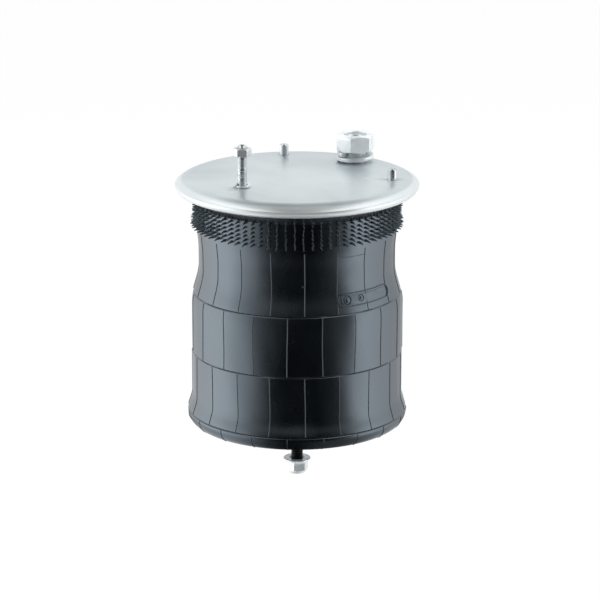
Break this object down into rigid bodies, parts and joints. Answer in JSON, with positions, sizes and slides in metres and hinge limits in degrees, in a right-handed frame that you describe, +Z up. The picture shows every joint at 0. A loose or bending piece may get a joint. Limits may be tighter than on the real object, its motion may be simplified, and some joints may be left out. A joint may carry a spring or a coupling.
{
  "type": "rolling lobe air spring",
  "caption": "Rolling lobe air spring: a round crimped steel plate with threaded studs over a black rubber sleeve that rolls down a ribbed piston, with a nut on its lower stud.",
  "frame": {"origin": "centre of the top plate's upper face, where it bears on the vehicle frame", "axes": "+Z up, out of the top plate along the line of travel; +X from the plain mounting stud towards the hollow air stud"},
  "size_m": [0.24, 0.24, 0.3493],
  "materials": {
    "zinc_plate": "satin zinc plating",
    "bright_zinc": "bright zinc plating",
    "plain_steel": "plain drawn wire and tube",
    "black_steel": "glossy black coating",
    "sleeve_rubber": "smooth moulded rubber with a soft sheen",
    "seal_rubber": "matt",
    "bump_rubber": "matt",
    "piston_moulding": "moulded glass-filled nylon",
    "nylon": "natural nylon"
  },
  "bodies": {
    "top_mount": {"top_plate": "zinc_plate", "upper_bead_hoop": "plain_steel", "sleeve_neck": "sleeve_rubber", "sleeve_middle": "sleeve_rubber", "air_stud": "bright_zinc", "air_stud_nut": "bright_zinc", "air_stud_washer": "bright_zinc", "mounting_stud": "bright_zinc", "mounting_stud_nut": "bright_zinc", "mounting_stud_washer": "bright_zinc", "locating_pin_rear": "bright_zinc", "locating_pin_side": "bright_zinc"},
    "rolling_lobe": {"sleeve_lobe": "sleeve_rubber"},
    "piston_group": {"sleeve_inner": "sleeve_rubber", "lower_bead_hoop": "plain_steel", "closure_plate": "zinc_plate", "piston": "piston_moulding", "piston_seal": "seal_rubber", "bump_stop": "bump_rubber", "central_stud": "black_steel", "hub_bush": "plain_steel", "clamp_washer": "zinc_plate", "clamp_nut": "zinc_plate", "base_nut": "bright_zinc", "base_nut_insert": "nylon"}
  },
  "joints": [
    {"name": "lobe_roll", "type": "slide", "parent": "top_mount", "child": "rolling_lobe", "axis": [0, 0, -1], "range_m": [-0.009, 0.08], "deforming": ["sleeve_middle"]},
    {"name": "piston_stroke", "type": "slide", "parent": "rolling_lobe", "child": "piston_group", "axis": [0, 0, -1], "range_m": [-0.009, 0.08], "deforming": ["sleeve_inner"]}
  ],
  "couplings": [
    {"joint": "lobe_roll", "follows": "piston_stroke", "ratio": 1}
  ]
}
